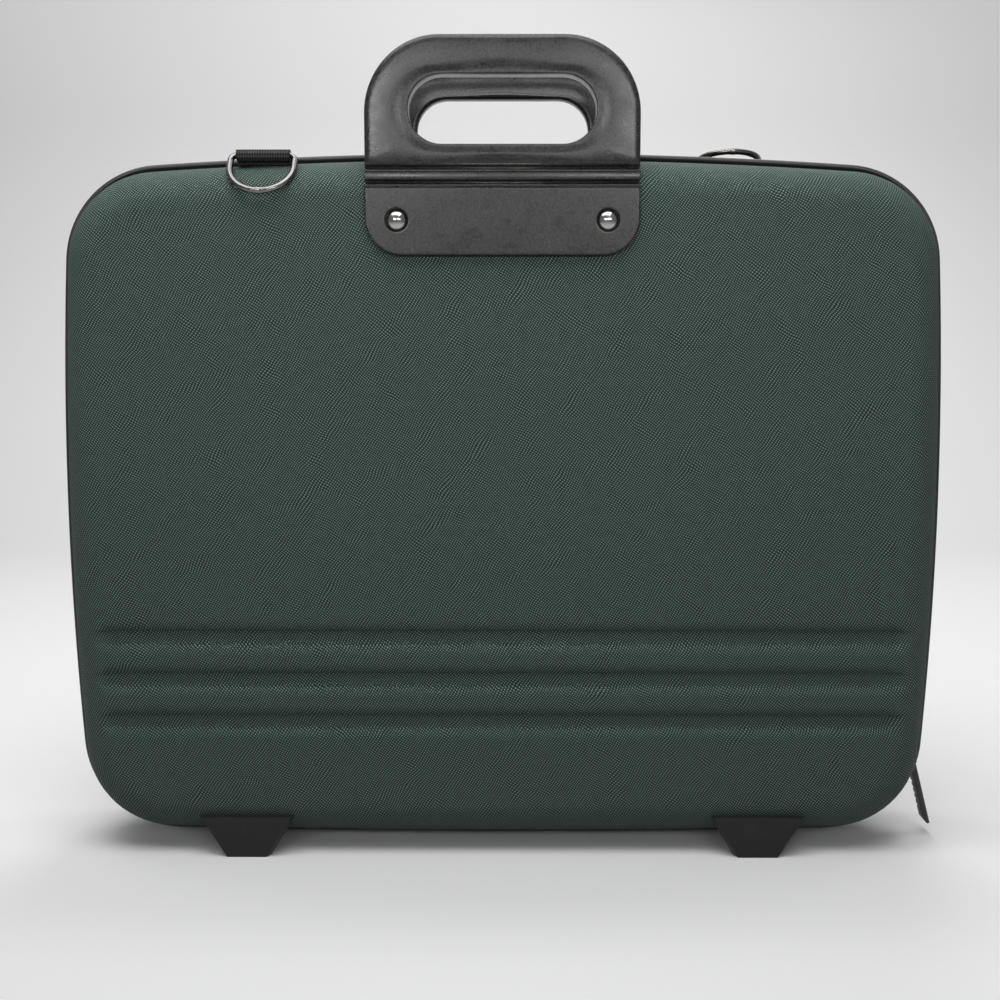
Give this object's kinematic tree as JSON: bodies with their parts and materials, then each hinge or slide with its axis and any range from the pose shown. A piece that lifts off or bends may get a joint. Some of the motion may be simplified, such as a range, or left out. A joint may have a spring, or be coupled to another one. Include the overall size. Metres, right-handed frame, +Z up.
{
  "type": "laptop hard case",
  "caption": "Slim zipped hard case for a laptop: two moulded fabric-covered shells, paired carrying grips, strap rings and moulded feet.",
  "frame": {"origin": "middle of the footprint, on the floor under the soles of the feet", "axes": "+X to the right along the case's width, +Y towards its back, +Z up; the face with the left-hand ring looks along -Y"},
  "size_m": [0.4333, 0.0791, 0.3897],
  "materials": {
    "green_woven_shell": "fine dull green-grey nylon weave bonded over a moulded foam shell",
    "grey_piping": "smooth satin grey PVC piping",
    "black_zip_tape": "matt black woven tape",
    "black_zip_coil": "black nylon coil with a slight shine",
    "grey_moulded_handle": "warm dark grey soft moulding, fine speckled satin texture",
    "bright_rivet": "polished nickel-plated domed rivet",
    "plated_steel": "dull zinc-plated steel",
    "black_webbing": "black woven nylon webbing",
    "bright_ring": "bright nickel-plated wire",
    "dark_grey_foot": "dark grey satin moulded plastic",
    "dark_lining": "dark grey-green lining cloth",
    "dark_slider": "black lacquered die-cast slider",
    "grey_pull": "dark grey moulded rubber pull"
  },
  "bodies": {
    "back_case": {"back_shell": "green_woven_shell", "back_piping": "grey_piping", "back_zip_tape": "black_zip_tape", "back_zip_coil": "black_zip_coil", "zip_tail": "black_zip_coil", "hinge_strip": "black_zip_tape", "back_handle_plate": "grey_moulded_handle", "back_handle_rivets": "bright_rivet", "back_handle_washers": "plated_steel", "back_ring_webbing": "black_webbing", "back_feet": "dark_grey_foot", "back_foot_screws": "plated_steel", "laptop_straps": "black_webbing", "strap_fasteners": "black_webbing"},
    "front_case": {"front_shell": "green_woven_shell", "front_piping": "grey_piping", "front_zip_tape": "black_zip_tape", "front_zip_coil": "black_zip_coil", "front_handle_plate": "grey_moulded_handle", "front_handle_rivets": "bright_rivet", "front_handle_washers": "plated_steel", "front_ring_webbing": "black_webbing", "front_feet": "dark_grey_foot", "front_foot_screws": "plated_steel", "document_pocket": "dark_lining"},
    "front_handle_band": {"front_handle_band": "grey_moulded_handle"},
    "front_grip": {"front_grip": "grey_moulded_handle"},
    "back_handle_band": {"back_handle_band": "grey_moulded_handle"},
    "back_grip": {"back_grip": "grey_moulded_handle"},
    "front_ring": {"front_ring": "bright_ring"},
    "back_ring": {"back_ring": "bright_ring"},
    "side_slider": {"side_slider": "dark_slider"},
    "side_pull": {"side_pull": "grey_pull"},
    "bottom_slider": {"bottom_slider": "dark_slider"},
    "bottom_pull": {"bottom_pull": "grey_pull"}
  },
  "joints": [
    {"name": "lid_hinge", "type": "hinge", "parent": "back_case", "child": "front_case", "pos_m": [0, 0, 0.007], "axis": [1, 0, 0], "range_deg": [0, 120], "deforming": ["hinge_strip"]},
    {"name": "front_handle_bend", "type": "hinge", "parent": "front_case", "child": "front_handle_band", "pos_m": [0, -0.0352, 0.32445], "axis": [-1, 0, 0], "range_deg": [0, 8], "stiffness_Nm_per_rad": 0.8},
    {"name": "front_grip_bend", "type": "hinge", "parent": "front_handle_band", "child": "front_grip", "pos_m": [0, -0.0352, 0.33105], "axis": [-1, 0, 0], "range_deg": [0, 8], "stiffness_Nm_per_rad": 0.8},
    {"name": "back_handle_bend", "type": "hinge", "parent": "back_case", "child": "back_handle_band", "pos_m": [0, 0.0352, 0.32445], "axis": [1, 0, 0], "range_deg": [0, 8], "stiffness_Nm_per_rad": 0.8},
    {"name": "back_grip_bend", "type": "hinge", "parent": "back_handle_band", "child": "back_grip", "pos_m": [0, 0.0352, 0.33105], "axis": [1, 0, 0], "range_deg": [0, 8], "stiffness_Nm_per_rad": 0.8},
    {"name": "front_ring_swing", "type": "hinge", "parent": "front_case", "child": "front_ring", "pos_m": [-0.112, -0.024, 0.3372], "axis": [-1, 0, 0], "range_deg": [0, 200]},
    {"name": "back_ring_swing", "type": "hinge", "parent": "back_case", "child": "back_ring", "pos_m": [0.112, 0.024, 0.3372], "axis": [-1, 0, 0], "range_deg": [0, 205]},
    {"name": "side_slider_run", "type": "hinge", "parent": "back_case", "child": "side_slider", "pos_m": [0.16368, 0, 0.05259], "axis": [0, -1, 0], "range_deg": [-4, 14]},
    {"name": "side_pull_swing", "type": "hinge", "parent": "side_slider", "child": "side_pull", "pos_m": [0.20923, 0, 0.03744], "axis": [0, -1, 0], "range_deg": [-31, 146]},
    {"name": "bottom_slider_run", "type": "slide", "parent": "back_case", "child": "bottom_slider", "axis": [-0.9997, 0, -0.0252], "range_m": [0, 0.006]},
    {"name": "bottom_pull_swing", "type": "hinge", "parent": "bottom_slider", "child": "bottom_pull", "pos_m": [0.16301, 0, 0.00455], "axis": [0, -1, 0], "range_deg": [0, 180]}
  ],
  "couplings": [
    {"joint": "front_grip_bend", "follows": "front_handle_bend", "ratio": 1},
    {"joint": "back_grip_bend", "follows": "back_handle_bend", "ratio": 1}
  ]
}
